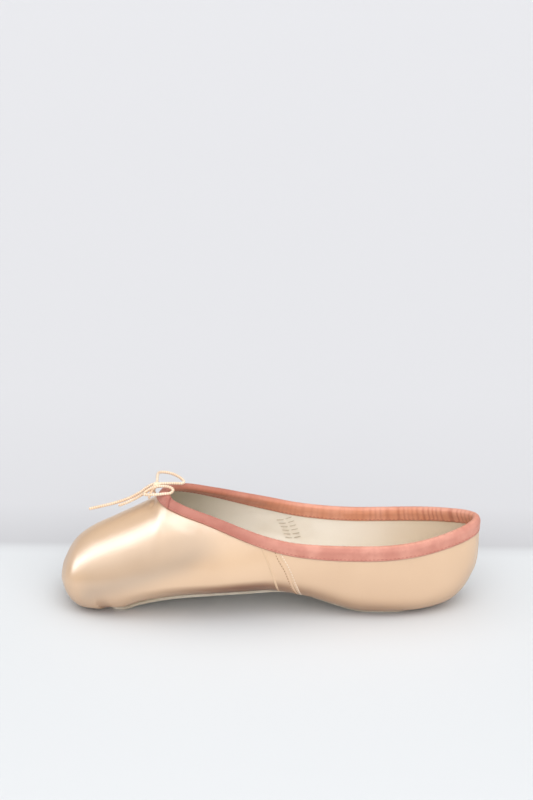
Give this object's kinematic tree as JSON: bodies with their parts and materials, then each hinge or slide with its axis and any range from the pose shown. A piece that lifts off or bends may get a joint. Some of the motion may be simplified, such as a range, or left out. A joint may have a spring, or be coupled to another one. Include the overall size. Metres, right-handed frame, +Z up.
{
  "type": "pointe shoe",
  "caption": "Satin ballet pointe shoe on a straight last, with a stiff toe box, drawstring binding tied at the throat, arched leather sole and cotton lining.",
  "frame": {"origin": "on the floor below the middle of the shoe's length and width", "axes": "+X from the toe platform towards the heel, +Y towards the wearer's right, +Z up from the floor the sole stands on"},
  "size_m": [0.2361, 0.072, 0.0725],
  "materials": {
    "satin": "pale peach satin with a soft directional sheen",
    "binding": "salmon cotton tape, gathered on the drawstring",
    "sole_leather": "matt suede side out, beige grey",
    "lining": "matt off-white cotton",
    "cord": "cream waxed cotton cord"
  },
  "bodies": {
    "root": {"upper": "satin", "binding": "binding", "outsole": "sole_leather", "insole": "lining", "drawstring_knot": "cord", "drawstring_loop_right": "cord", "drawstring_loop_left": "cord", "drawstring_end_long": "cord", "drawstring_end_short": "cord"}
  },
  "joints": []
}
